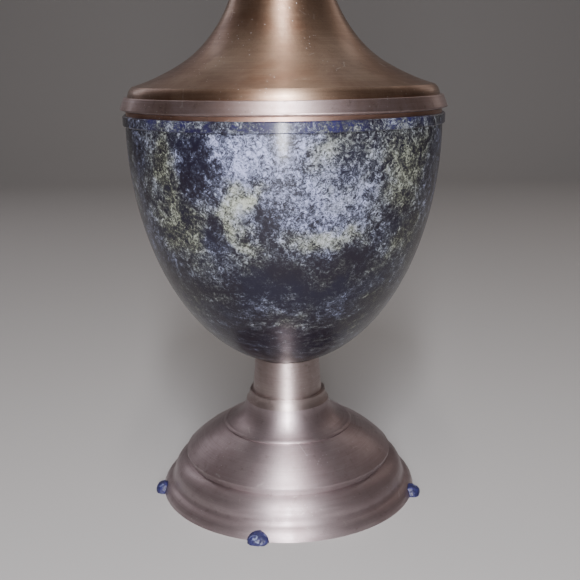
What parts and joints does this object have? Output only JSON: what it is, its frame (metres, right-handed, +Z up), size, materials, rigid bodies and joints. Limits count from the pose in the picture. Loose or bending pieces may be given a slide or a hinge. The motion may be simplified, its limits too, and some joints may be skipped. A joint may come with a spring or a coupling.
{
  "type": "covered urn trophy",
  "caption": "Covered presentation urn: stepped spun-brass foot and stem, deep painted bowl and a lift-off brass lid with a trumpet neck and ball finial.",
  "frame": {"origin": "centre of the foot on the surface that the urn stands on", "axes": "+Z up along the urn's axis; the side seen in the source view faces -Y"},
  "size_m": [0.2066, 0.2066, 0.4115],
  "materials": {
    "brass_foot": "brushed, lacquered antique brass with fine turning lines",
    "brass_stem": "brushed, lacquered antique brass",
    "brass_flange": "brushed, lacquered brass",
    "brass_lid": "darker aged brass, satin",
    "brass_plain": "plain turned brass, unseen inside",
    "copper_ring": "copper-toned polished brass",
    "enamel": "gloss clear coat over sponged slate, grey-blue and olive mottling on near-black",
    "cast_iron": "as cast, black paint",
    "steel": "zinc-plated steel fasteners",
    "plate": "thin steel plate",
    "felt": "dark green felt",
    "gasket": "black soft ring",
    "pad_blue": "matte navy-blue soft putty"
  },
  "bodies": {
    "stand": {"base_shell": "brass_foot", "base_dome": "brass_foot", "foot_skirt": "brass_foot", "stem_collar": "brass_stem", "stem_tube": "brass_stem", "stem_plug": "brass_plain", "ballast_weight": "cast_iron", "base_plate": "plate", "base_felt": "felt", "grip_pads": "pad_blue", "bowl_shell": "enamel", "bowl_band": "enamel", "neck_ring": "copper_ring", "bowl_gasket": "gasket", "bowl_washer": "steel", "bowl_acorn_nut": "brass_plain", "tie_rod": "steel", "base_washer": "steel", "base_spring_washer": "steel", "base_nut": "steel"},
    "lid": {"lid_flange": "brass_flange", "lid_spigot": "brass_plain", "lid_trumpet": "brass_lid", "lid_collar": "brass_lid", "lid_cap": "brass_lid", "finial_base": "brass_lid", "finial_ball": "brass_lid", "finial_tip": "brass_lid", "finial_stud": "steel", "finial_washer": "steel", "finial_nut": "steel"}
  },
  "joints": [
    {"name": "lid_lift", "type": "slide", "parent": "stand", "child": "lid", "axis": [0, 0, 1], "range_m": [0, 0.1]}
  ]
}
